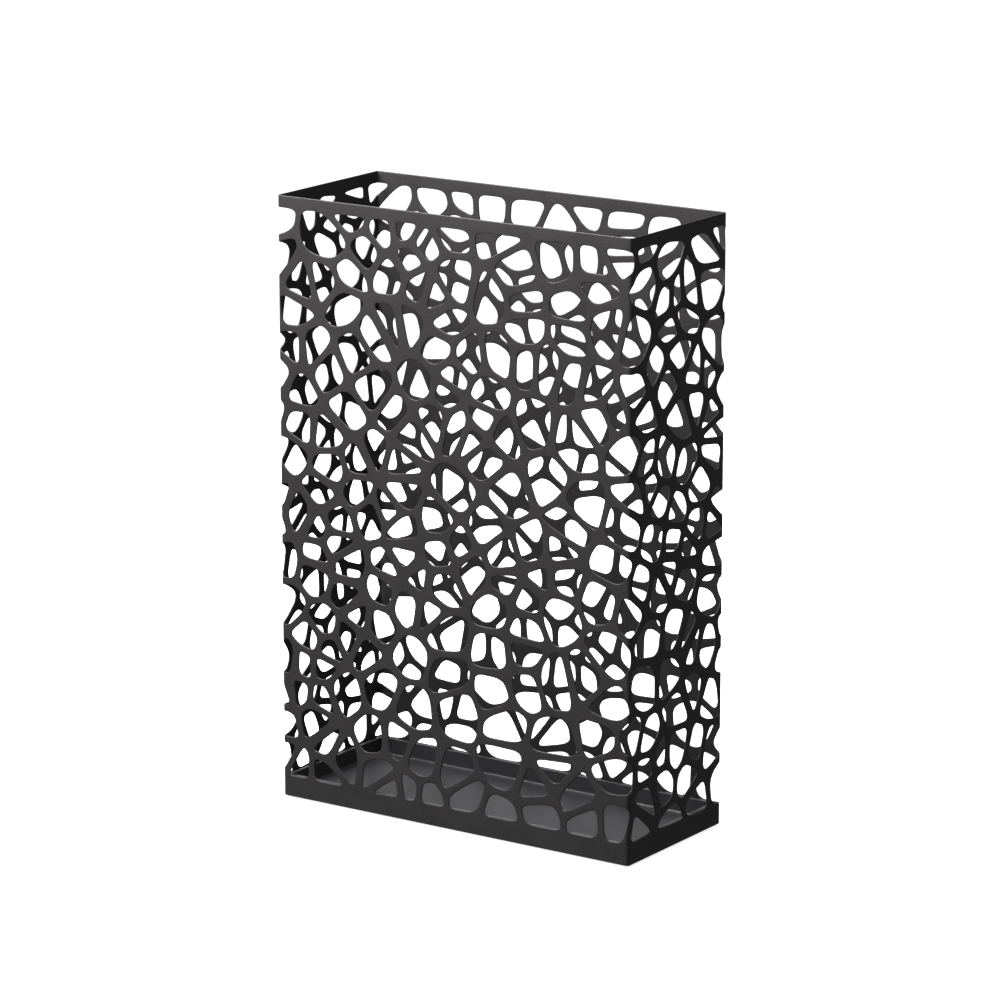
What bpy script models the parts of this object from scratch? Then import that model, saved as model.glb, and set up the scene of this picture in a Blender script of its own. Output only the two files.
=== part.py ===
"""Slim rectangular umbrella stand, in metres with +Z up.

One steel sheet, perforated with an irregular web, is bent round four corners into a tall sleeve.
A folded steel pan is welded inside the sleeve's foot, a plastic drip tray lifts out of the pan, and
four rubber pads stick to the pan's underside. The origin is on the floor under the middle of the
stand. The long front wall faces -Y.
"""

import math
import random

import bmesh
import bpy
from mathutils import Vector
from mathutils.geometry import delaunay_2d_cdt

# The sleeve, outside measures. Its lower edge hangs a little above the floor.
WIDTH = 0.280
DEPTH = 0.114
SLEEVE_BOTTOM = 0.001
SLEEVE_TOP = 0.416
SHEET = 0.0012
BEND_RADIUS = 0.0026
BEND_FACETS = 2

# The plain bands that close the web above and below.
TOP_BAND = 0.008
BOTTOM_BAND = 0.0145

# The web: cells round scattered seeds, parted by struts. SMALLEST_HOLE is an area.
STRUT = 0.0044
WEB_SEEDS = 480
SEED_SPACING = 0.0130
WIDEST_HOLE = 0.040
SHORTEST_EDGE = 0.0070
SMALLEST_HOLE = 0.00003
RANDOM_START = 11

# Clearance between pieces that touch on the real stand.
TOUCH_GAP = 0.0003

# The pan is folded from thinner sheet, with its four flanges turned up inside the lower band.
PAN_SHEET = 0.0008
PAN_UNDERSIDE = 0.0018
PAN_TOP = 0.0120
PAN_BEND_RADIUS = 0.0016
PAN_BEND_FACETS = 3
PAN_CORNER_RELIEF = 0.0040

# The drip tray: thin drafted walls with a lip that covers the pan's flanges.
TRAY_WALL = 0.0015
TRAY_FLOOR = 0.0013
TRAY_CLEARANCE = 0.0005
TRAY_DRAFT = 0.0004
TRAY_TOP = 0.0158
TRAY_LIP = 0.0016
TRAY_LIP_BEVEL = 0.0004
TRAY_CORNER_RADIUS = 0.0045
TRAY_LEAST_RADIUS = 0.0009
TRAY_FILLET = 0.0020
TRAY_CORNER_FACETS = 5
TRAY_FILLET_FACETS = 3

# The foot pads.
PAD_RADIUS = 0.0065
PAD_EDGE = 0.0005
PAD_INSET = 0.0160
PAD_SIDES = 32

# Points closer than this are one point, and edges that turn more than this are shaded sharp.
MERGE = 0.00001
SHARP_ANGLE = math.radians(50)

# Lengths along the developed sheet, measured on its middle layer where it bends.
FRONT_FLAT = WIDTH - 2 * BEND_RADIUS
SIDE_FLAT = DEPTH - 2 * BEND_RADIUS
BEND_LENGTH = (BEND_RADIUS - SHEET / 2) * math.pi / 2
GIRTH = 2 * (FRONT_FLAT + SIDE_FLAT) + 4 * BEND_LENGTH


def clear_scene():
    for obj in list(bpy.data.objects):
        bpy.data.objects.remove(obj, do_unlink=True)


def material(name, colour, roughness, metallic):
    made = bpy.data.materials.new(name)
    made.use_nodes = True
    shader = made.node_tree.nodes["Principled BSDF"]
    shader.inputs["Base Color"].default_value = (*colour, 1.0)
    shader.inputs["Roughness"].default_value = roughness
    shader.inputs["Metallic"].default_value = metallic
    return made


def add_object(name, shape, surface, location=(0.0, 0.0, 0.0)):
    """Turns a bmesh into a named object, shaded smooth but for its sharp edges."""
    mesh = bpy.data.meshes.new(name)
    shape.to_mesh(mesh)
    shape.free()
    mesh.shade_smooth()
    mesh.set_sharp_from_angle(angle=SHARP_ANGLE)
    mesh.materials.append(surface)
    obj = bpy.data.objects.new(name, mesh)
    obj.location = location
    bpy.context.scene.collection.objects.link(obj)
    return obj


# --- The web of the developed sheet ---------------------------------------------------------------


def scatter_seeds():
    """Seeds at least SEED_SPACING apart, on a sheet whose two ends join."""
    chance = random.Random(RANDOM_START)
    low = SLEEVE_BOTTOM + BOTTOM_BAND
    high = SLEEVE_TOP - TOP_BAND
    seeds = []
    while len(seeds) < WEB_SEEDS:
        along = chance.uniform(0, GIRTH)
        height = chance.uniform(low, high)
        if all(math.hypot(wrapped(along - a), height - h) > SEED_SPACING for a, h in seeds):
            seeds.append((along, height))
    return seeds


def wrapped(distance):
    """A distance along the sheet, taken the shorter way round the sleeve."""
    return (distance + GIRTH / 2) % GIRTH - GIRTH / 2


def cut_outline(outline, point, outward):
    """The part of a convex outline behind the line through a point, square to a direction."""
    kept = []
    sides = [(a - point[0]) * outward[0] + (h - point[1]) * outward[1] for a, h in outline]
    for i, (a, h) in enumerate(outline):
        j = (i + 1) % len(outline)
        if sides[i] <= 0:
            kept.append((a, h))
        if sides[i] * sides[j] < 0:
            share = sides[i] / (sides[i] - sides[j])
            kept.append((a + share * (outline[j][0] - a), h + share * (outline[j][1] - h)))
    return kept


def cell_round(seed, seeds):
    """The part of the sheet nearer to this seed than to any other, between the two bands."""
    low = SLEEVE_BOTTOM + BOTTOM_BAND - STRUT / 2
    high = SLEEVE_TOP - TOP_BAND + STRUT / 2
    reach = 2 * WIDEST_HOLE
    along, height = seed
    outline = [(along - reach, low), (along + reach, low), (along + reach, high), (along - reach, high)]
    for other in seeds:
        step = (wrapped(other[0] - along), other[1] - height)
        if 0 < math.hypot(*step) < 2 * reach:
            outline = cut_outline(outline, (along + step[0] / 2, height + step[1] / 2), step)
    return outline


def side_lengths(outline):
    return [math.dist(outline[i - 1], outline[i]) for i in range(len(outline))]


def hole_in(cell):
    """The cell's outline moved in by half a strut, without the shortest sides."""
    hole = list(cell)
    for i in range(len(cell)):
        (a, h), (b, k) = cell[i - 1], cell[i]
        length = math.dist((a, h), (b, k))
        if length > 0:
            outward = ((k - h) / length, (a - b) / length)
            inner = (a - outward[0] * STRUT / 2, h - outward[1] * STRUT / 2)
            hole = cut_outline(hole, inner, outward)
    while len(hole) > 3 and min(side_lengths(hole)) < SHORTEST_EDGE:
        lengths = side_lengths(hole)
        i = lengths.index(min(lengths))
        middle = ((hole[i - 1][0] + hole[i][0]) / 2, (hole[i - 1][1] + hole[i][1]) / 2)
        hole[i] = middle
        hole.pop(i - 1)
    return hole


def span(outline):
    """The larger of an outline's two overall measures."""
    return max(max(axis) - min(axis) for axis in zip(*outline))


def area(outline):
    """The area inside a counter-clockwise outline."""
    doubled = 0.0
    for i, (a, h) in enumerate(outline):
        before = outline[i - 1]
        doubled += before[0] * h - a * before[1]
    return doubled / 2


def web_holes():
    """Every hole's outline. A seed is added at the emptiest corner of each cell that is too wide."""
    seeds = scatter_seeds()
    cells = [cell_round(seed, seeds) for seed in seeds]
    while span(hole_in(max(cells, key=span))) > WIDEST_HOLE:
        widest = max(range(len(cells)), key=lambda i: span(cells[i]))
        corner = max(cells[widest], key=lambda point: math.dist(point, seeds[widest]))
        seeds.append((corner[0] % GIRTH, corner[1]))
        cells = [cell_round(seed, seeds) for seed in seeds]
    holes = [hole_in(cell) for cell in cells]
    return [hole for hole in holes if area(hole) > SMALLEST_HOLE]


# --- The sleeve -----------------------------------------------------------------------------------


def walls():
    """Each wall with its bend: where it starts on the sheet, its first corner, length and heading."""
    start = 0.0
    found = []
    corner = Vector((-WIDTH / 2, DEPTH / 2 - BEND_RADIUS, 0))
    heading = Vector((0, -1, 0))
    for length in (SIDE_FLAT, FRONT_FLAT, SIDE_FLAT, FRONT_FLAT):
        found.append((start, corner.copy(), length, heading.copy()))
        inward = Vector((-heading.y, heading.x, 0))
        corner += heading * (length + BEND_RADIUS) + inward * BEND_RADIUS
        heading = inward
        start += length + BEND_LENGTH
    return found


WALLS = walls()


def on_sleeve(along, height, depth):
    """A point of the bent sheet, depth below its outer face."""
    start, corner, length, heading = [wall for wall in WALLS if wall[0] <= along % GIRTH + MERGE][-1]
    inward = Vector((-heading.y, heading.x, 0))
    run = along % GIRTH - start
    place = corner + heading * min(run, length) + inward * depth
    if run > length:
        turn = min(1.0, (run - length) / BEND_LENGTH) * math.pi / 2
        radius = BEND_RADIUS - depth
        place += heading * radius * math.sin(turn) + inward * radius * (1 - math.cos(turn))
    place.z = height
    return place


def bend_lines():
    """Where the sheet creases: both ends of each bend and the facets between."""
    lines = []
    for start, _, length, _ in WALLS:
        lines += [start + length + BEND_LENGTH * i / BEND_FACETS for i in range(BEND_FACETS + 1)]
    return [line - GIRTH for line in lines if line > GIRTH - MERGE] + lines


def developed_sheet(holes):
    """The flat perforated sheet as triangles, one girth long, from a triangulation a little longer."""
    margin = WIDEST_HOLE + STRUT
    points = []
    edges = []
    faces = []

    def add_outline(outline):
        faces.append(list(range(len(points), len(points) + len(outline))))
        points.extend(Vector(point) for point in outline)

    west = -2 * margin
    east = GIRTH + 2 * margin
    add_outline([(west, SLEEVE_BOTTOM), (east, SLEEVE_BOTTOM), (east, SLEEVE_TOP), (west, SLEEVE_TOP)])
    for hole in holes:
        for shift in (-GIRTH, 0, GIRTH):
            if -margin < hole[0][0] + shift < GIRTH + margin:
                add_outline([(a + shift, h) for a, h in hole])
    for line in bend_lines():
        points += [Vector((line, SLEEVE_BOTTOM)), Vector((line, SLEEVE_TOP))]
        edges.append((len(points) - 2, len(points) - 1))
    places, _, triangles, _, _, sources = delaunay_2d_cdt(points, edges, faces, 1, MERGE / 10)
    solid = [corners for corners, source in zip(triangles, sources) if source == [0]]
    middle = [sum(places[i].x for i in corners) / 3 for corners in solid]
    return places, [corners for corners, a in zip(solid, middle) if 0 < a < GIRTH]


def build_sleeve(surface):
    places, triangles = developed_sheet(web_holes())
    sheet = bmesh.new()
    along = sheet.verts.layers.float.new("along")
    corner_of = {}
    for index in sorted({i for corners in triangles for i in corners}):
        place = places[index]
        corner_of[index] = sheet.verts.new(on_sleeve(place.x, place.y, 0))
        corner_of[index][along] = place.x
    for corners in triangles:
        sheet.faces.new([corner_of[i] for i in corners])
    bmesh.ops.remove_doubles(sheet, verts=sheet.verts, dist=MERGE)
    inner = bmesh.ops.extrude_face_region(sheet, geom=sheet.faces[:])
    for part in inner["geom"]:
        if isinstance(part, bmesh.types.BMVert):
            part.co = on_sleeve(part[along], part.co.z, SHEET)
    bmesh.ops.recalc_face_normals(sheet, faces=sheet.faces)
    add_object("sleeve", sheet, surface)


# --- The pan --------------------------------------------------------------------------------------


def build_base_pan(surface):
    """The pan's upper face as one folded surface, thickened downwards and outwards."""
    half_width = WIDTH / 2 - SHEET - TOUCH_GAP - PAN_SHEET
    half_depth = DEPTH / 2 - SHEET - TOUCH_GAP - PAN_SHEET
    floor = PAN_UNDERSIDE + PAN_SHEET
    flat_x = half_width - PAN_BEND_RADIUS
    flat_y = half_depth - PAN_BEND_RADIUS
    notch = PAN_CORNER_RELIEF
    outline = [
        (-flat_x, -flat_y + notch),
        (-flat_x + notch, -flat_y),
        (flat_x - notch, -flat_y),
        (flat_x, -flat_y + notch),
        (flat_x, flat_y - notch),
        (flat_x - notch, flat_y),
        (-flat_x + notch, flat_y),
        (-flat_x, flat_y - notch),
    ]
    pan = bmesh.new()
    bottom = pan.faces.new([pan.verts.new((x, y, floor)) for x, y in outline])
    for edge in [edge for edge in pan.edges if edge.calc_length() > 2 * notch]:
        middle = (edge.verts[0].co + edge.verts[1].co) / 2
        outward = Vector((round(middle.x / flat_x), round(middle.y / flat_y), 0))
        rise = Vector((0, 0, 1))
        turns = [math.pi / 2 * (i + 1) / PAN_BEND_FACETS for i in range(PAN_BEND_FACETS)]
        bend = [(math.sin(turn), 1 - math.cos(turn)) for turn in turns]
        path = [(outward * a + rise * b) * PAN_BEND_RADIUS for a, b in bend]
        path.append(path[-1] + rise * (PAN_TOP - floor - PAN_BEND_RADIUS))
        base = [vertex.co.copy() for vertex in edge.verts]
        for step in path:
            grown = bmesh.ops.extrude_edge_only(pan, edges=[edge])
            edge = next(part for part in grown["geom"] if isinstance(part, bmesh.types.BMEdge))
            for vertex in edge.verts:
                nearest = min(base, key=lambda start: abs((start - vertex.co).cross(outward).z))
                vertex.co = nearest + step
    bmesh.ops.recalc_face_normals(pan, faces=pan.faces)
    if bottom.normal.z < 0:
        bmesh.ops.reverse_faces(pan, faces=pan.faces)
    obj = add_object("base_pan", pan, surface)
    thicken = obj.modifiers.new("sheet", "SOLIDIFY")
    thicken.thickness = PAN_SHEET
    thicken.offset = -1
    thicken.use_even_offset = True


# --- The drip tray --------------------------------------------------------------------------------


def loft(shape, rings):
    """Skins a stack of rings of vertices and closes both ends."""
    for lower, upper in zip(rings, rings[1:]):
        for i in range(len(lower)):
            shape.faces.new((lower[i - 1], lower[i], upper[i], upper[i - 1]))
    shape.faces.new(rings[0])
    shape.faces.new(rings[-1])
    bmesh.ops.recalc_face_normals(shape, faces=shape.faces)


def rounded_ring(shape, half_width, half_depth, radius, height):
    """Vertices round a rectangle with rounded corners."""
    ring = []
    for quarter in range(4):
        sign_x = 1 if quarter in (0, 3) else -1
        sign_y = 1 if quarter in (0, 1) else -1
        centre = Vector((sign_x * (half_width - radius), sign_y * (half_depth - radius), height))
        for i in range(TRAY_CORNER_FACETS + 1):
            turn = math.pi / 2 * (quarter + i / TRAY_CORNER_FACETS)
            offset = Vector((math.cos(turn), math.sin(turn), 0)) * radius
            ring.append(shape.verts.new(centre + offset))
    return ring


def tray_section():
    """The tray's section from its underside, up and over the lip, to its floor.

    Each entry is how far the ring lies inside the lip's outer edge, and its height.
    """
    underside = PAN_UNDERSIDE + PAN_SHEET + TOUCH_GAP
    floor = underside + TRAY_FLOOR
    wall = PAN_SHEET + TRAY_CLEARANCE
    inner = wall + TRAY_WALL
    section = [
        (wall + TRAY_DRAFT + PAN_BEND_RADIUS, underside),
        (wall + TRAY_DRAFT, underside + PAN_BEND_RADIUS),
        (wall, TRAY_TOP - TRAY_LIP),
        (0.0, TRAY_TOP - TRAY_LIP),
        (0.0, TRAY_TOP - TRAY_LIP_BEVEL),
        (TRAY_LIP_BEVEL, TRAY_TOP),
        (inner - TRAY_LIP_BEVEL, TRAY_TOP),
        (inner, TRAY_TOP - TRAY_LIP_BEVEL),
    ]
    for i in range(TRAY_FILLET_FACETS + 1):
        turn = math.pi / 2 * i / TRAY_FILLET_FACETS
        reach = inner + TRAY_DRAFT + TRAY_FILLET * (1 - math.cos(turn))
        section.append((reach, floor + TRAY_FILLET * (1 - math.sin(turn))))
    return section


def build_drip_tray(surface):
    tray = bmesh.new()
    half_width = WIDTH / 2 - SHEET - TRAY_CLEARANCE
    half_depth = DEPTH / 2 - SHEET - TRAY_CLEARANCE
    rings = []
    for inset, height in tray_section():
        radius = max(TRAY_CORNER_RADIUS - inset, TRAY_LEAST_RADIUS)
        rings.append(rounded_ring(tray, half_width - inset, half_depth - inset, radius, height))
    loft(tray, rings)
    add_object("drip_tray", tray, surface)


# --- The foot pads --------------------------------------------------------------------------------


def build_foot_pad(name, x, y, surface):
    """A flat round pad with a narrow bevel round its lower edge."""
    pad = bmesh.new()
    thickness = PAN_UNDERSIDE - TOUCH_GAP
    rings = []
    for radius, height in ((PAD_RADIUS - PAD_EDGE, 0), (PAD_RADIUS, PAD_EDGE), (PAD_RADIUS, thickness)):
        turns = [2 * math.pi * i / PAD_SIDES for i in range(PAD_SIDES)]
        rings.append([pad.verts.new((radius * math.cos(t), radius * math.sin(t), height)) for t in turns])
    loft(pad, rings)
    add_object(name, pad, surface, (x, y, 0.0))


def main():
    clear_scene()
    black_powder_coat = material("black_powder_coat", (0.023, 0.022, 0.023), 0.45, 0.0)
    pan_powder_coat = material("pan_powder_coat", (0.024, 0.024, 0.025), 0.45, 0.0)
    tray_plastic = material("tray_plastic", (0.038, 0.038, 0.042), 0.38, 0.0)
    pad_rubber = material("pad_rubber", (0.015, 0.015, 0.015), 0.8, 0.0)
    build_sleeve(black_powder_coat)
    build_base_pan(pan_powder_coat)
    build_drip_tray(tray_plastic)
    pad_x = WIDTH / 2 - PAD_INSET
    pad_y = DEPTH / 2 - PAD_INSET
    for depth_name, y in (("front", -pad_y), ("rear", pad_y)):
        for side_name, x in (("left", -pad_x), ("right", pad_x)):
            build_foot_pad(f"foot_pad_{depth_name}_{side_name}", x, y, pad_rubber)


main()
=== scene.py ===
"""The looks of the slim umbrella stand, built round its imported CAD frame.

Every size comes from the frame's own boxes or is a named value in metres. The sleeve's web is read
from the CAD sleeve, so that the finely rounded sheet shown here has its openings in the same places.
"""

import math

import bmesh
import bpy
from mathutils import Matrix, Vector
from mathutils.geometry import delaunay_2d_cdt


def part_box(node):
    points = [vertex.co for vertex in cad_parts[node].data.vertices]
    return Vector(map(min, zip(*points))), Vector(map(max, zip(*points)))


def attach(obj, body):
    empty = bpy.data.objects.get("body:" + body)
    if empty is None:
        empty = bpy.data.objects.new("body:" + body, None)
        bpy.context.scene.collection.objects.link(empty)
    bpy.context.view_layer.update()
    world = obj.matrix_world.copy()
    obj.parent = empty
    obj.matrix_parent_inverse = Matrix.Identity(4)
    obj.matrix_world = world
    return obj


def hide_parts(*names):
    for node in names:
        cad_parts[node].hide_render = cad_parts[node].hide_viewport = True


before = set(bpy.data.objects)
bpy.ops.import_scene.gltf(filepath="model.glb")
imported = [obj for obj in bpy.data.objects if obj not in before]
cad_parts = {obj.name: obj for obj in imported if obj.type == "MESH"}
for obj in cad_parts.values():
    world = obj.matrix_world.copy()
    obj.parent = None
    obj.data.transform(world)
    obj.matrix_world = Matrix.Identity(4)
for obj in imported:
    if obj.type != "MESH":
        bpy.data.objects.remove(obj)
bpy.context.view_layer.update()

# The camera: a level horizon, from the front and right, a little above the stand. Its lens and
# sensor are in millimetres.
CAMERA_AZIMUTH = math.radians(34.36)
CAMERA_ELEVATION = math.radians(13.76)
CAMERA_DISTANCE = 3.177
CAMERA_LENS = 171.9
CAMERA_SENSOR = 36.0
CAMERA_AIM = Vector((0.0001, 0.0, 0.2158))

# The sleeve's sheet, its rounded cut edges and the coat that builds up on them.
SHEET = 0.0012
BEND_RADIUS = 0.0026
BEND_FACETS = 8
EDGE_ROUND = 0.00050
EDGE_STEPS = 2
COAT_BUILD = 0.00018

# How the web's corners are eased: the share of each side that curves, at a sharp corner and at a
# blunt one.
SHARP_CORNER = math.radians(75)
SHARP_SHARE = 0.28
BLUNT_CORNER = math.radians(130)
BLUNT_SHARE = 0.44
EASE_STEPS = 5

# The tray: its lip reaches over the pan's flanges, and its walls lean in by the draft. The neck is
# the round under the lip, the heel the round at the outside of the foot and the fillet the one inside.
TRAY_OVERHANG = 0.0013
TRAY_WALL = 0.0015
TRAY_FLOOR = 0.0013
TRAY_DRAFT = 0.0004
TRAY_LIP = 0.0016
TRAY_LIP_ROUND = 0.0005
TRAY_NECK = 0.0003
TRAY_HEEL = 0.0016
TRAY_FILLET = 0.0020
TRAY_CORNER = 0.0045
TRAY_LEAST_CORNER = 0.0009
TRAY_CORNER_FACETS = 10
TRAY_ARC_STEPS = 5

# The pan.
PAN_SHEET = 0.0008
PAN_BEND = 0.0016
PAN_BEND_STEPS = 8
PAN_RELIEF = 0.0040

# The pads. The recess in a pad's underside is flat from its middle to PAD_RECESS_FLAT and ends at
# PAD_RECESS_EDGE, both shares of the pad's radius. Its middle face ends at PAD_RECESS_CAP.
PAD_SIDES = 64
PAD_EDGE_ROUND = 0.0005
PAD_EDGE_STEPS = 5
PAD_TOP_BEVEL = 0.0002
PAD_RECESS_DEPTH = 0.0002
PAD_RECESS_CAP = 0.45
PAD_RECESS_FLAT = 0.50
PAD_RECESS_EDGE = 0.54

# The floor's half width.
FLOOR_REACH = 12.0

# Colours in linear RGB. Each surface is mottled between its two tones.
COAT_TONES = ((0.0190, 0.0173, 0.0181), (0.0272, 0.0248, 0.0259))
PAN_TONES = ((0.020, 0.020, 0.021), (0.028, 0.028, 0.029))
TRAY_TONES = ((0.034, 0.034, 0.037), (0.042, 0.042, 0.046))
TRAY_MARKS = (0.060, 0.060, 0.065)
RUBBER_TONES = ((0.014, 0.014, 0.014), (0.030, 0.029, 0.028))
PAPER_TONES = ((0.90, 0.90, 0.90), (0.92, 0.92, 0.92))
WHITE = (1.0, 1.0, 1.0, 1.0)

# How much paler the coat's grains are than its light tone, and where most noise values lie.
GRAIN_GAIN = 2.2
NOISE_SPREAD = (0.3, 0.7)

# Points of the sleeve closer than WELD are one point. The finer limits are for the developed sheet.
WELD = 0.000004
FINE_WELD = WELD / 4
CUT_TOLERANCE = WELD / 40

# A point where an outline turns by less than this, as a sine, is no corner.
STRAIGHT = 0.012

# Edges that turn more than this are shaded sharp.
SMOOTH_ANGLE = math.radians(62)


# --- Helpers --------------------------------------------------------------------------------------


def add_piece(name, shape, body, node, surface):
    """Turns a bmesh into a shown piece that stands for a CAD node and rides on its body."""
    bmesh.ops.recalc_face_normals(shape, faces=shape.faces)
    mesh = bpy.data.meshes.new(name)
    shape.to_mesh(mesh)
    shape.free()
    mesh.shade_smooth()
    mesh.set_sharp_from_angle(angle=SMOOTH_ANGLE)
    mesh.materials.append(surface)
    piece = bpy.data.objects.new(name, mesh)
    bpy.context.scene.collection.objects.link(piece)
    even = piece.modifiers.new("even_shading", "WEIGHTED_NORMAL")
    even.keep_sharp = True
    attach(piece, body)
    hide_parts(node)


def loft(shape, rings):
    """Skins a stack of rings of vertices and closes both ends."""
    for lower, upper in zip(rings, rings[1:]):
        for i in range(len(lower)):
            shape.faces.new((lower[i - 1], lower[i], upper[i], upper[i - 1]))
    shape.faces.new(rings[0])
    shape.faces.new(rings[-1])


def arc(steps):
    """Cosine and sine of evenly spaced angles from 0 to a quarter turn, both ends included."""
    turns = [math.pi / 2 * i / steps for i in range(steps + 1)]
    return [(math.cos(turn), math.sin(turn)) for turn in turns]


def set_range(node, spread, to):
    """Fills in a Map Range node, which takes the values of spread to those of to."""
    for socket, number in zip(("From Min", "From Max", "To Min", "To Max"), (*spread, *to)):
        node.inputs[socket].default_value = number


# --- Materials ------------------------------------------------------------------------------------


class Surface:
    """A Principled material whose texture nodes are added by short calls."""

    def __init__(self, name):
        self.material = bpy.data.materials.new(name)
        self.material.use_nodes = True
        self.nodes = self.material.node_tree.nodes
        self.links = self.material.node_tree.links
        self.shader = self.nodes["Principled BSDF"]
        self.place = self.nodes.new("ShaderNodeTexCoord").outputs["Object"]

    def stretched(self, scale):
        """The place on the object, with each axis scaled."""
        mapping = self.nodes.new("ShaderNodeMapping")
        mapping.inputs["Scale"].default_value = scale
        self.links.new(self.place, mapping.inputs["Vector"])
        return mapping.outputs["Vector"]

    def noise(self, scale, detail=2.0, roughness=0.5, place=None):
        """A noise field with about scale features to the metre."""
        noise = self.nodes.new("ShaderNodeTexNoise")
        noise.inputs["Scale"].default_value = scale
        noise.inputs["Detail"].default_value = detail
        noise.inputs["Roughness"].default_value = roughness
        self.links.new(place or self.place, noise.inputs["Vector"])
        return noise.outputs["Fac"]

    def remap(self, field, spread=NOISE_SPREAD, to=(0.0, 1.0)):
        """The field with the values of spread taken to those of to, and the rest clamped."""
        scaled = self.nodes.new("ShaderNodeMapRange")
        set_range(scaled, spread, to)
        self.links.new(field, scaled.inputs["Value"])
        return scaled.outputs["Result"]

    def blend(self, factor, first, second):
        """Mixes two colours, each one a tuple or a linked colour, by a factor field."""
        mix = self.nodes.new("ShaderNodeMix")
        mix.data_type = "RGBA"
        self.links.new(factor, mix.inputs["Factor"])
        first_socket, second_socket = [socket for socket in mix.inputs if socket.type == "RGBA"]
        for socket, colour in ((first_socket, first), (second_socket, second)):
            if isinstance(colour, tuple):
                socket.default_value = (*colour, 1.0)
            else:
                self.links.new(colour, socket)
        return next(socket for socket in mix.outputs if socket.type == "RGBA")

    def colour(self, source):
        self.links.new(source, self.shader.inputs["Base Color"])

    def rough(self, source):
        self.links.new(source, self.shader.inputs["Roughness"])

    def bump(self, height, strength, distance, below=None):
        """Relief from a height field, laid over an earlier call's relief where one is given."""
        bump = self.nodes.new("ShaderNodeBump")
        bump.inputs["Strength"].default_value = strength
        bump.inputs["Distance"].default_value = distance
        self.links.new(height, bump.inputs["Height"])
        if below is not None:
            self.links.new(below, bump.inputs["Normal"])
        self.links.new(bump.outputs["Normal"], self.shader.inputs["Normal"])
        return bump.outputs["Normal"]

    def set(self, socket, value):
        self.shader.inputs[socket].default_value = value


def powder_coat(name, tones):
    """Satin powder coat: a fine orange peel, faint cloudiness, pale grains and uneven gloss."""
    coat = Surface(name)
    cloud = coat.noise(scale=35.0, detail=4.0, roughness=0.6)
    grain = coat.noise(scale=2600.0)
    peel = coat.noise(scale=900.0, detail=3.0, roughness=0.55)
    tone = coat.blend(coat.remap(cloud), *tones)
    pale_grain = tuple(GRAIN_GAIN * channel for channel in tones[1])
    coat.colour(coat.blend(coat.remap(grain, spread=(0.62, 0.80), to=(0.0, 0.35)), tone, pale_grain))
    coat.rough(coat.remap(peel, to=(0.38, 0.52)))
    relief = coat.bump(peel, strength=0.24, distance=0.0004)
    coat.bump(grain, strength=0.20, distance=0.0002, below=relief)
    return coat.material


def tray_plastic():
    """Satin charcoal moulding with a fine spark-eroded grain and faint rubbed marks."""
    plastic = Surface("tray_plastic")
    grain = plastic.noise(scale=1800.0, detail=3.0)
    cloud = plastic.noise(scale=18.0, detail=5.0, roughness=0.6)
    along_tray = plastic.stretched((1.0, 6.0, 1.0))
    rubbed = plastic.noise(scale=60.0, detail=6.0, roughness=0.7, place=along_tray)
    tone = plastic.blend(plastic.remap(cloud), *TRAY_TONES)
    marks = plastic.remap(rubbed, spread=(0.60, 0.78), to=(0.0, 0.5))
    plastic.colour(plastic.blend(marks, tone, TRAY_MARKS))
    plastic.rough(plastic.remap(cloud, to=(0.34, 0.42)))
    plastic.bump(grain, strength=0.12, distance=0.0003)
    return plastic.material


def pad_rubber():
    """Matt black rubber with a coarse cast skin."""
    rubber = Surface("pad_rubber")
    grain = rubber.noise(scale=1400.0, detail=4.0, roughness=0.6)
    dust = rubber.noise(scale=220.0, detail=4.0)
    rubber.colour(rubber.blend(rubber.remap(dust, spread=(0.45, 0.75)), *RUBBER_TONES))
    rubber.rough(rubber.remap(grain, to=(0.72, 0.88)))
    rubber.bump(grain, strength=0.35, distance=0.0003)
    return rubber.material


def pale_paper():
    """Matt white paper, faintly mottled, with a glow of its own so that it reads as plain white."""
    paper = Surface("pale_floor")
    mottle = paper.noise(scale=3.0, detail=3.0)
    paper.colour(paper.blend(mottle, *PAPER_TONES))
    paper.set("Roughness", 0.9)
    paper.set("Specular IOR Level", 0.1)
    paper.set("Emission Color", WHITE)
    paper.set("Emission Strength", 0.8)
    return paper.material


# --- The sleeve -----------------------------------------------------------------------------------

SLEEVE_LOW, SLEEVE_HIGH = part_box("sleeve")
SIDE_FLAT = (SLEEVE_HIGH.y - SLEEVE_LOW.y) - 2 * BEND_RADIUS
FRONT_FLAT = (SLEEVE_HIGH.x - SLEEVE_LOW.x) - 2 * BEND_RADIUS
BEND_LENGTH = (BEND_RADIUS - SHEET / 2) * math.pi / 2
GIRTH = 2 * (FRONT_FLAT + SIDE_FLAT) + 4 * BEND_LENGTH

# The web is repeated this far beyond both ends of the developed sheet, so that it closes across the
# seam. No opening is as wide.
SEAM_MARGIN = 0.05

# The triangulation's output type that keeps only what lies inside an outline.
INSIDE_TRIANGLES = 1


def find_walls():
    """Each wall and the bend after it: start along the sheet, first corner, length, heading, inward."""
    found = []
    start = 0.0
    corner = Vector((SLEEVE_LOW.x, SLEEVE_HIGH.y - BEND_RADIUS, 0))
    heading = Vector((0, -1, 0))
    for length in (SIDE_FLAT, FRONT_FLAT, SIDE_FLAT, FRONT_FLAT):
        inward = Vector((-heading.y, heading.x, 0))
        found.append((start, corner.copy(), length, heading.copy(), inward.copy()))
        corner += heading * (length + BEND_RADIUS) + inward * BEND_RADIUS
        heading = inward
        start += length + BEND_LENGTH
    return found


WALLS = find_walls()


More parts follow.
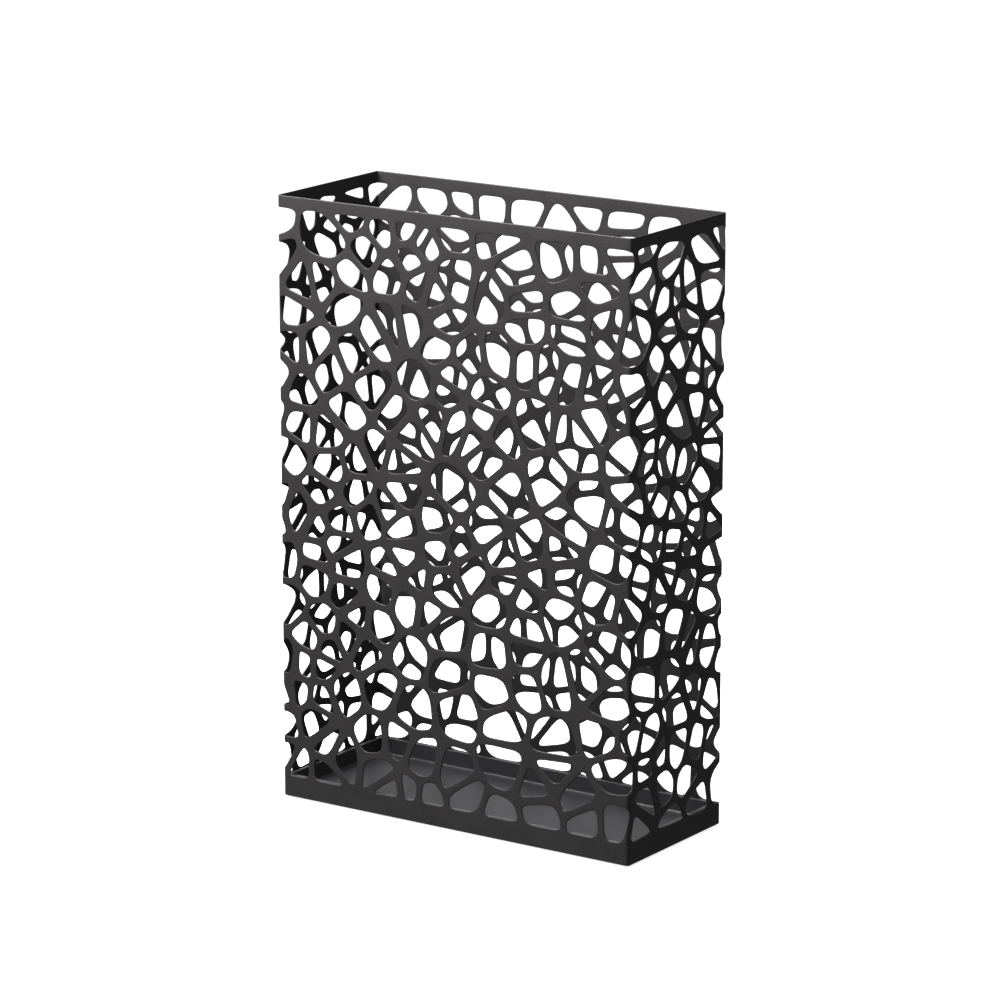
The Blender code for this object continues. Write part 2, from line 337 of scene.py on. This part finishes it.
def bent(along, height, depth):
    """The place of a point of the developed sheet, depth below its outer face."""
    along %= GIRTH
    start, corner, length, heading, inward = [wall for wall in WALLS if wall[0] <= along + WELD][-1]
    run = along - start
    place = corner + heading * min(run, length) + inward * depth
    if run > length:
        turn = min(1.0, (run - length) / BEND_LENGTH) * math.pi / 2
        radius = BEND_RADIUS - depth
        place += heading * radius * math.sin(turn) + inward * radius * (1 - math.cos(turn))
    place.z = height
    return place


def unbent(point):
    """How far along the sheet a point of the sleeve lies, and how deep below its outer face."""
    flat = Vector((point.x, point.y, 0))
    for start, corner, length, heading, inward in WALLS:
        local = flat - corner
        run = local.dot(heading)
        depth = local.dot(inward)
        if -WELD <= run <= length + WELD and depth < 2 * SHEET:
            return start + run, depth
        spoke = flat - (corner + heading * length + inward * BEND_RADIUS)
        ahead = spoke.dot(heading)
        outside = -spoke.dot(inward)
        if ahead > 0 and outside > 0 and spoke.length < BEND_RADIUS + WELD:
            turn = math.atan2(ahead, outside)
            return start + length + turn / (math.pi / 2) * BEND_LENGTH, BEND_RADIUS - spoke.length
    raise ValueError(f"{point} isn't on the sleeve")


def wrapped(distance):
    """A distance along the sheet, taken the shorter way round the sleeve."""
    return (distance + GIRTH / 2) % GIRTH - GIRTH / 2


def cad_openings():
    """Each opening of the CAD sleeve on the developed sheet, counter-clockwise from outside."""
    shape = bmesh.new()
    shape.from_mesh(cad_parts["sleeve"].data)
    bmesh.ops.remove_doubles(shape, verts=shape.verts, dist=WELD)
    place = {vertex: unbent(vertex.co) for vertex in shape.verts}
    skin = {face for face in shape.faces if all(place[vertex][1] < SHEET / 2 for vertex in face.verts)}
    after = {}
    for face in skin:
        for loop in face.loops:
            if any(other not in skin for other in loop.edge.link_faces):
                after[loop.link_loop_next.vert] = loop.vert
    outlines = []
    while after:
        vertex = next(iter(after))
        outline = []
        while vertex in after:
            along = place[vertex][0]
            if outline:
                along = outline[-1].x + wrapped(along - outline[-1].x)
            outline.append(Vector((along, vertex.co.z)))
            vertex = after.pop(vertex)
        outlines.append(outline)
    shape.free()
    return [corners_of(outline) for outline in outlines if is_opening(outline)]


def is_opening(outline):
    """Whether an outline bounds an opening, and isn't the sleeve's upper or lower edge."""
    heights = [point.y for point in outline]
    return min(heights) > SLEEVE_LOW.z + WELD and max(heights) < SLEEVE_HIGH.z - WELD


def corners_of(outline):
    """The outline without the points that only split a straight side."""
    kept = []
    for i, point in enumerate(outline):
        before = (point - outline[i - 1]).normalized()
        onward = (outline[(i + 1) % len(outline)] - point).normalized()
        if abs(before.cross(onward)) > STRAIGHT:
            kept.append(point)
    return kept


def eased(outline):
    """The outline with each corner turned into a curve, a short one where the corner is sharp."""
    curve = []
    for i, corner in enumerate(outline):
        before = outline[i - 1] - corner
        onward = outline[(i + 1) % len(outline)] - corner
        bluntness = (before.angle(onward) - SHARP_CORNER) / (BLUNT_CORNER - SHARP_CORNER)
        share = SHARP_SHARE + (BLUNT_SHARE - SHARP_SHARE) * min(1.0, max(0.0, bluntness))
        first = corner + before * share
        last = corner + onward * share
        for step in range(EASE_STEPS + 1):
            t = step / EASE_STEPS
            curve.append(first * (1 - t) ** 2 + corner * 2 * t * (1 - t) + last * t * t)
    return curve


def grown(curve, distance):
    """The curve moved outwards from the opening it bounds."""
    moved = []
    for i, point in enumerate(curve):
        tangent = (curve[(i + 1) % len(curve)] - curve[i - 1]).normalized()
        moved.append(point + Vector((tangent.y, -tangent.x)) * distance)
    return moved


def triangulated_sheet(reaches):
    """The developed sheet's points, its triangles, and the outlines that hold each triangle.

    Rings round each opening mark where its rounded edge begins and ends. The triangulation keeps
    them as edges, and the number of outlines round a triangle tells how near its opening is.
    """
    points = []
    edges = []
    faces = []

    def add_outline(outline):
        faces.append(list(range(len(points), len(points) + len(outline))))
        points.extend(outline)

    def add_line(first, last):
        edges.append((len(points), len(points) + 1))
        points.extend((Vector(first), Vector(last)))

    low = SLEEVE_LOW.z
    high = SLEEVE_HIGH.z
    west = -2 * SEAM_MARGIN
    east = GIRTH + 2 * SEAM_MARGIN
    add_outline([Vector(corner) for corner in ((west, low), (east, low), (east, high), (west, high))])
    for reach in reaches[1:]:
        add_line((west, low + reach), (east, low + reach))
        add_line((west, high - reach), (east, high - reach))
    for start, _, length, _, _ in WALLS:
        for i in range(BEND_FACETS + 1):
            line = start + length + BEND_LENGTH * i / BEND_FACETS
            add_line((line, low), (line, high))
    add_line((0, low), (0, high))
    for outline in cad_openings():
        curve = grown(eased(outline), -COAT_BUILD)
        for shift in (-GIRTH, 0, GIRTH):
            if -SEAM_MARGIN < curve[0].x + shift < GIRTH + SEAM_MARGIN:
                for reach in reaches:
                    add_outline([point + Vector((shift, 0)) for point in grown(curve, reach)])
    cut = delaunay_2d_cdt(points, edges, faces, INSIDE_TRIANGLES, CUT_TOLERANCE)
    places, _, triangles, _, _, holders = cut
    return places, triangles, holders


def build_sleeve(surface):
    """The bent sheet with eased openings and rounded cut edges.

    A point's level is how many rings it lies from the cut edge, at most EDGE_STEPS, and sinks holds
    how far below the outer face the rounding puts a point of each level.
    """
    reaches = [EDGE_ROUND * (1 - cosine) for cosine, _ in arc(EDGE_STEPS)]
    sinks = [EDGE_ROUND * (1 - sine) for _, sine in arc(EDGE_STEPS)]
    places, triangles, holders = triangulated_sheet(reaches)
    skin = []
    most_holders = {}
    for corners, around in zip(triangles, holders):
        middle = sum(places[i].x for i in corners) / 3
        for i in corners:
            most_holders[i] = max(most_holders.get(i, 0), len(around))
        if len(around) <= EDGE_STEPS + 1 and 0 < middle < GIRTH:
            skin.append(corners)
    sheet = bmesh.new()
    along = sheet.verts.layers.float.new("along")
    depth = sheet.verts.layers.float.new("depth")
    vertices = {}
    for corners in skin:
        for i in corners:
            if i in vertices:
                continue
            spot = places[i]
            to_rim = min(spot.y - SLEEVE_LOW.z, SLEEVE_HIGH.z - spot.y)
            levels = [EDGE_STEPS + 2 - most_holders[i], EDGE_STEPS]
            levels += [level for level, reach in enumerate(reaches) if to_rim < reach + FINE_WELD]
            sink = sinks[min(levels)]
            vertices[i] = sheet.verts.new(bent(spot.x, spot.y, sink))
            vertices[i][along] = spot.x
            vertices[i][depth] = sink
    for corners in skin:
        sheet.faces.new([vertices[i] for i in corners])
    bmesh.ops.remove_doubles(sheet, verts=sheet.verts, dist=FINE_WELD)
    inner = bmesh.ops.extrude_face_region(sheet, geom=sheet.faces[:])
    for part in inner["geom"]:
        if isinstance(part, bmesh.types.BMVert):
            part.co = bent(part[along], part.co.z, SHEET - part[depth])
    add_piece("sleeve_sheet", sheet, "stand", "sleeve", surface)


# --- The drip tray --------------------------------------------------------------------------------


def rounded_ring(shape, half_width, half_depth, radius, height):
    """Vertices round a rectangle with rounded corners, centred on the origin."""
    ring = []
    for quarter in range(4):
        sign_x = 1 if quarter in (0, 3) else -1
        sign_y = 1 if quarter in (0, 1) else -1
        centre = Vector((sign_x * (half_width - radius), sign_y * (half_depth - radius), height))
        for i in range(TRAY_CORNER_FACETS + 1):
            turn = math.pi / 2 * (quarter + i / TRAY_CORNER_FACETS)
            spoke = Vector((math.cos(turn), math.sin(turn), 0)) * radius
            ring.append(shape.verts.new(centre + spoke))
    return ring


def tray_section(bottom, top):
    """The tray's section from its underside, up and over the lip, to its floor.

    Each entry is how far the ring lies inside the lip's outer edge, and its height.
    """
    quarter = arc(TRAY_ARC_STEPS)
    outer = TRAY_OVERHANG
    inner = outer + TRAY_WALL
    neck = top - TRAY_LIP
    floor = bottom + TRAY_FLOOR
    heel = outer + TRAY_DRAFT
    section = [(heel + TRAY_HEEL * (1 - s), bottom + TRAY_HEEL * (1 - c)) for c, s in quarter]
    section.append((outer, neck - TRAY_NECK))
    section += [(outer - TRAY_NECK * (1 - c), neck - TRAY_NECK * (1 - s)) for c, s in quarter[1:]]
    section += [(TRAY_LIP_ROUND * (1 - s), neck + TRAY_LIP_ROUND * (1 - c)) for c, s in quarter]
    section += [(TRAY_LIP_ROUND * (1 - c), top - TRAY_LIP_ROUND * (1 - s)) for c, s in quarter]
    section += [(inner - TRAY_LIP_ROUND * (1 - s), top - TRAY_LIP_ROUND * (1 - c)) for c, s in quarter]
    foot = inner + TRAY_DRAFT
    section += [(foot + TRAY_FILLET * (1 - c), floor + TRAY_FILLET * (1 - s)) for c, s in quarter]
    return section


def build_tray(surface):
    """The moulded tray: a rounded lip over the pan's flanges, drafted walls and a filleted floor."""
    low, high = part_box("drip_tray")
    tray = bmesh.new()
    rings = []
    for inset, height in tray_section(low.z, high.z):
        radius = max(TRAY_CORNER - inset, TRAY_LEAST_CORNER)
        rings.append(rounded_ring(tray, high.x - inset, high.y - inset, radius, height))
    loft(tray, rings)
    add_piece("tray_moulding", tray, "tray", "drip_tray", surface)


# --- The pan --------------------------------------------------------------------------------------


def build_pan(surface):
    """The folded pan: one sheet with four flanges, open at its relieved corners."""
    low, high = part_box("base_pan")
    floor = low.z + PAN_SHEET
    flat_x = high.x - PAN_SHEET - PAN_BEND
    flat_y = high.y - PAN_SHEET - PAN_BEND
    corners = []
    for sign_x, sign_y in ((-1, -1), (1, -1), (1, 1), (-1, 1)):
        on_side = (sign_x * flat_x, sign_y * (flat_y - PAN_RELIEF))
        on_front = (sign_x * (flat_x - PAN_RELIEF), sign_y * flat_y)
        corners += [on_side, on_front] if sign_x * sign_y > 0 else [on_front, on_side]
    pan = bmesh.new()
    bottom = pan.faces.new([pan.verts.new((x, y, floor)) for x, y in corners])
    for edge in [edge for edge in pan.edges if edge.calc_length() > 2 * PAN_RELIEF]:
        middle = (edge.verts[0].co + edge.verts[1].co) / 2
        outward = Vector((round(middle.x / flat_x), round(middle.y / flat_y), 0))
        bend = arc(PAN_BEND_STEPS)[1:]
        path = [outward * PAN_BEND * s + Vector((0, 0, PAN_BEND * (1 - c))) for c, s in bend]
        path.append(path[-1] + Vector((0, 0, high.z - floor - PAN_BEND)))
        base = [vertex.co.copy() for vertex in edge.verts]
        for step in path:
            added = bmesh.ops.extrude_edge_only(pan, edges=[edge])
            edge = next(part for part in added["geom"] if isinstance(part, bmesh.types.BMEdge))
            for vertex in edge.verts:
                start = min(base, key=lambda point: abs((point - vertex.co).cross(outward).z))
                vertex.co = start + step
    bmesh.ops.recalc_face_normals(pan, faces=pan.faces)
    if bottom.normal.z < 0:
        bmesh.ops.reverse_faces(pan, faces=pan.faces)
    bmesh.ops.solidify(pan, geom=pan.faces[:], thickness=PAN_SHEET)
    add_piece("pan_folded", pan, "stand", "base_pan", surface)


# --- The foot pads --------------------------------------------------------------------------------


def build_pad(node, surface):
    """A cast rubber pad: a rounded lower edge and a shallow round recess in its underside."""
    low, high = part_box(node)
    centre = (low + high) / 2
    radius = (high.x - low.x) / 2
    profile = [
        (radius * PAD_RECESS_CAP, low.z + PAD_RECESS_DEPTH),
        (radius * PAD_RECESS_FLAT, low.z + PAD_RECESS_DEPTH),
        (radius * PAD_RECESS_EDGE, low.z),
    ]
    for cosine, sine in arc(PAD_EDGE_STEPS):
        profile.append((radius - PAD_EDGE_ROUND * (1 - sine), low.z + PAD_EDGE_ROUND * (1 - cosine)))
    profile.append((radius, high.z - PAD_TOP_BEVEL))
    profile.append((radius - PAD_TOP_BEVEL, high.z))
    turns = [2 * math.pi * i / PAD_SIDES for i in range(PAD_SIDES)]
    pad = bmesh.new()
    rings = []
    for reach, height in profile:
        spots = [(centre.x + reach * math.cos(t), centre.y + reach * math.sin(t), height) for t in turns]
        rings.append([pad.verts.new(spot) for spot in spots])
    loft(pad, rings)
    add_piece(node + "_rubber", pad, "stand", node, surface)


# --- The stage ------------------------------------------------------------------------------------


def add_camera():
    """The camera, placed back from the point that it looks at."""
    level = math.cos(CAMERA_ELEVATION)
    to_right = math.sin(CAMERA_AZIMUTH) * level
    to_front = math.cos(CAMERA_AZIMUTH) * level
    back = Vector((to_right, -to_front, math.sin(CAMERA_ELEVATION)))
    camera = bpy.data.objects.new("camera", bpy.data.cameras.new("camera"))
    camera.data.lens = CAMERA_LENS
    camera.data.sensor_width = CAMERA_SENSOR
    camera.location = CAMERA_AIM + back * CAMERA_DISTANCE
    camera.rotation_euler = (-back).to_track_quat("-Z", "Y").to_euler()
    bpy.context.scene.collection.objects.link(camera)
    bpy.context.scene.camera = camera


def add_light(name, place, aim, size, power, glossy=True):
    """A square softbox. One that isn't glossy lights surfaces without being mirrored in them."""
    light = bpy.data.objects.new(name, bpy.data.lights.new(name, "AREA"))
    light.data.shape = "RECTANGLE"
    light.data.size = size
    light.data.size_y = size
    light.data.energy = power
    light.location = place
    light.rotation_euler = (Vector(aim) - Vector(place)).to_track_quat("-Z", "Y").to_euler()
    light.visible_camera = False
    light.visible_glossy = glossy
    bpy.context.scene.collection.objects.link(light)


def add_floor():
    """White paper under the stand, which throws no light back on it and isn't mirrored in it."""
    grid = bmesh.new()
    bmesh.ops.create_grid(grid, x_segments=1, y_segments=1, size=FLOOR_REACH)
    mesh = bpy.data.meshes.new("floor")
    grid.to_mesh(mesh)
    grid.free()
    mesh.materials.append(pale_paper())
    obj = bpy.data.objects.new("floor", mesh)
    bpy.context.scene.collection.objects.link(obj)
    obj.visible_glossy = False
    obj.visible_diffuse = False


def add_world():
    """A dim surround with a soft glow overhead and a bright backdrop behind, seen as plain white."""
    world = bpy.data.worlds.new("studio")
    world.use_nodes = True
    bpy.context.scene.world = world
    nodes = world.node_tree.nodes
    links = world.node_tree.links
    heading = nodes.new("ShaderNodeTexCoord").outputs["Generated"]

    def glow(towards, spread, strength):
        """A strength that rises smoothly with how nearly a ray heads in a direction."""
        nearness = nodes.new("ShaderNodeVectorMath")
        nearness.operation = "DOT_PRODUCT"
        nearness.inputs[1].default_value = Vector(towards).normalized()
        links.new(heading, nearness.inputs[0])
        shade = nodes.new("ShaderNodeMapRange")
        shade.interpolation_type = "SMOOTHSTEP"
        set_range(shade, spread, strength)
        links.new(nearness.outputs["Value"], shade.inputs["Value"])
        return shade.outputs["Result"]

    def joined(operation, first, second):
        """Two strengths joined by a Math node's operation."""
        math_node = nodes.new("ShaderNodeMath")
        math_node.operation = operation
        links.new(first, math_node.inputs[0])
        links.new(second, math_node.inputs[1])
        return math_node.outputs["Value"]

    overhead = glow(towards=(-0.38, -0.45, 0.81), spread=(-0.5, 1.0), strength=(0.115, 0.50))
    backdrop = glow(towards=(-0.56, 0.78, 0.28), spread=(0.55, 0.97), strength=(0.0, 0.38))
    seen = nodes.new("ShaderNodeLightPath").outputs["Is Camera Ray"]
    strength = joined("MAXIMUM", joined("ADD", overhead, backdrop), seen)
    links.new(strength, nodes["Background"].inputs["Strength"])
    nodes["Background"].inputs["Color"].default_value = WHITE


def main():
    bpy.context.scene.view_settings.view_transform = "Standard"
    add_camera()
    add_world()
    add_floor()
    add_light("key_softbox", place=(-0.32, -0.42, 0.88), aim=(0, 0, 0.25), size=0.50, power=17.0)
    behind = (-0.70, 0.80, 0.70)
    add_light("rear_fill", place=behind, aim=(0, 0, 0.20), size=0.70, power=12.0, glossy=False)
    build_sleeve(powder_coat("black_powder_coat", COAT_TONES))
    build_pan(powder_coat("pan_powder_coat", PAN_TONES))
    build_tray(tray_plastic())
    rubber = pad_rubber()
    for node in sorted(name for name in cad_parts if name.startswith("foot_pad")):
        build_pad(node, rubber)


main()
